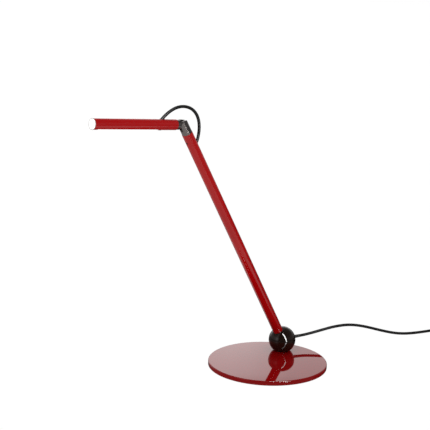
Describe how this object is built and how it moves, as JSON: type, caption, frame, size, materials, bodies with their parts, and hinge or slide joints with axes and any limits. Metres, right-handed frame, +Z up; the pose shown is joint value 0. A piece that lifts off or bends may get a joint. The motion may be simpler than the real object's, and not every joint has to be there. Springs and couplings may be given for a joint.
{
  "type": "desk lamp",
  "caption": "slim tube task lamp on a round base plate, with a ball swivel, a leaning arm, a hinged head and a cable looped over the elbow",
  "frame": {"origin": "centre of the base's underside, on the table", "axes": "+Z up; the arm leans towards -X in a plane parallel to XZ, and the head points to -X"},
  "size_m": [0.9303, 0.3355, 0.5413],
  "materials": {
    "red_lacquer": "deep red gloss lacquer over steel",
    "foam_pad": "closed-cell foam",
    "black_gloss": "black gloss moulding",
    "black_shutter": "black satin moulding",
    "zinc_steel": "zinc-plated steel",
    "friction_fibre": "brown friction fibre",
    "nylon": "natural nylon",
    "dark_metal": "dark nickel plating, polished",
    "aluminium": "extruded aluminium",
    "black_steel": "black oxide",
    "soft_black": "soft black moulding",
    "cord_sheath": "black round cord sheath",
    "lead_wire": "grey wire insulation",
    "plug_plastic": "black moulded plug",
    "plug_pin": "nickel-plated brass",
    "driver_resin": "potted module",
    "circuit_board": "white circuit board",
    "led_yellow": "phosphor-coated light source",
    "opal": "opal plastic",
    "pale_plastic": "pale grey moulding",
    "switch_plastic": "dark grey moulding"
  },
  "bodies": {
    "root": {"base_plate": "red_lacquer", "base_pad": "foam_pad", "base_screw_0": "zinc_steel", "base_screw_1": "zinc_steel", "base_screw_2": "zinc_steel", "ball_lower": "black_gloss", "swivel_axle": "zinc_steel", "friction_washer": "friction_fibre", "wave_washer": "zinc_steel", "axle_nut": "zinc_steel", "cord_gland": "soft_black", "pull_stop": "soft_black", "ball_lead": "lead_wire", "mains_cord": "cord_sheath", "mains_coil": "cord_sheath", "coil_tie": "soft_black", "plug_lead": "cord_sheath", "plug_body": "plug_plastic", "plug_pin_0": "plug_pin", "plug_pin_1": "plug_pin"},
    "swivel": {"yoke": "zinc_steel", "ball_upper": "black_gloss", "dome_screw_0": "zinc_steel", "dome_screw_1": "zinc_steel", "tilt_pin": "zinc_steel", "pin_clip": "zinc_steel"},
    "arm": {"arm_hub": "zinc_steel", "friction_disc_0": "friction_fibre", "friction_disc_1": "friction_fibre", "arm_stem": "zinc_steel", "stem_nut": "zinc_steel", "slot_shutter": "black_shutter", "arm_foot": "aluminium", "arm_tube": "red_lacquer", "arm_lead": "lead_wire", "led_driver": "driver_resin", "arm_knuckle": "dark_metal", "arm_set_screw": "black_steel", "arm_grommet": "soft_black", "elbow_pin": "dark_metal", "elbow_washer_0": "nylon", "elbow_washer_1": "nylon", "loop_cable": "cord_sheath"},
    "head": {"head_knuckle": "dark_metal", "head_set_screw": "black_steel", "head_grommet": "soft_black", "head_tube": "red_lacquer", "heat_bar": "aluminium", "led_board": "circuit_board", "led_chips": "led_yellow", "diffuser": "opal", "end_lens": "opal", "end_ring": "pale_plastic", "switch_body": "switch_plastic"},
    "button": {"push_button": "switch_plastic"}
  },
  "joints": [
    {"name": "arm_swivel", "type": "hinge", "parent": "root", "child": "swivel", "pos_m": [0.0705, 0.03, 0.032], "axis": [0, 0, 1], "range_deg": [-150, 150], "deforming": ["ball_lead"]},
    {"name": "arm_tilt", "type": "hinge", "parent": "swivel", "child": "arm", "pos_m": [0.0705, 0.03, 0.032], "axis": [0, 1, 0], "range_deg": [-13, 13]},
    {"name": "head_tilt", "type": "hinge", "parent": "arm", "child": "head", "pos_m": [-0.21112, 0.03, 0.50443], "axis": [0, 1, 0], "range_deg": [-40, 40], "deforming": ["loop_cable"]},
    {"name": "button_press", "type": "slide", "parent": "head", "child": "button", "axis": [0.0872, 0, 0.9962], "range_m": [0, 0.0008], "stiffness_N_per_m": 400, "springref_m": -0.001}
  ]
}
